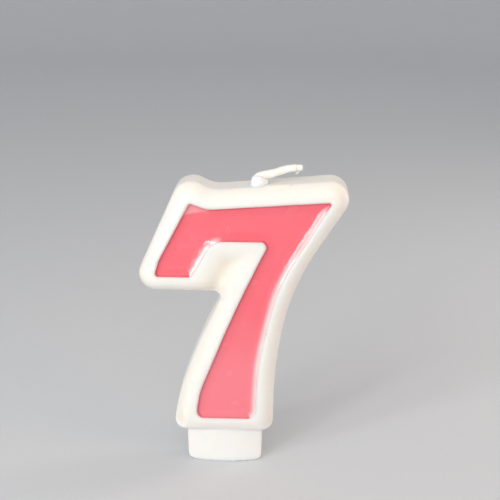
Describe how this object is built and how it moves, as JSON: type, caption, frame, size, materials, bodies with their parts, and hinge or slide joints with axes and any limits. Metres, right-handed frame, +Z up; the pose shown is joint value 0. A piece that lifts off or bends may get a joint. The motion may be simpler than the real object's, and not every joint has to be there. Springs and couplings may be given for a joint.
{
  "type": "number birthday candle",
  "caption": "Cast wax candle shaped as the figure seven, with a raised border, a coloured wax face, a flat foot and a bent waxed wick on its top edge.",
  "frame": {"origin": "centre of the foot's flat bottom face", "axes": "+Z up the candle towards the wick; -Y out of the decorated face; +X to the right as seen from that face"},
  "size_m": [0.0583, 0.012, 0.09],
  "materials": {
    "white_wax": "cast paraffin wax, soft gloss, slightly translucent and uneven",
    "coloured_wax": "dyed pink paraffin, poured, glossy",
    "cotton_wick": "braided cotton, wax primed",
    "wick_wax": "thin wax coat following the braid"
  },
  "bodies": {
    "candle": {"wax_body": "white_wax", "colour_pour": "coloured_wax", "wick_core": "cotton_wick", "wick_bead": "white_wax"},
    "wick_tip": {"wick_strand": "cotton_wick", "wick_coat": "wick_wax"}
  },
  "joints": [
    {"name": "wick_bend", "type": "hinge", "parent": "candle", "child": "wick_tip", "pos_m": [0.0094, 0, 0.0863], "axis": [0, -1, 0], "range_deg": [-8, 72]}
  ]
}
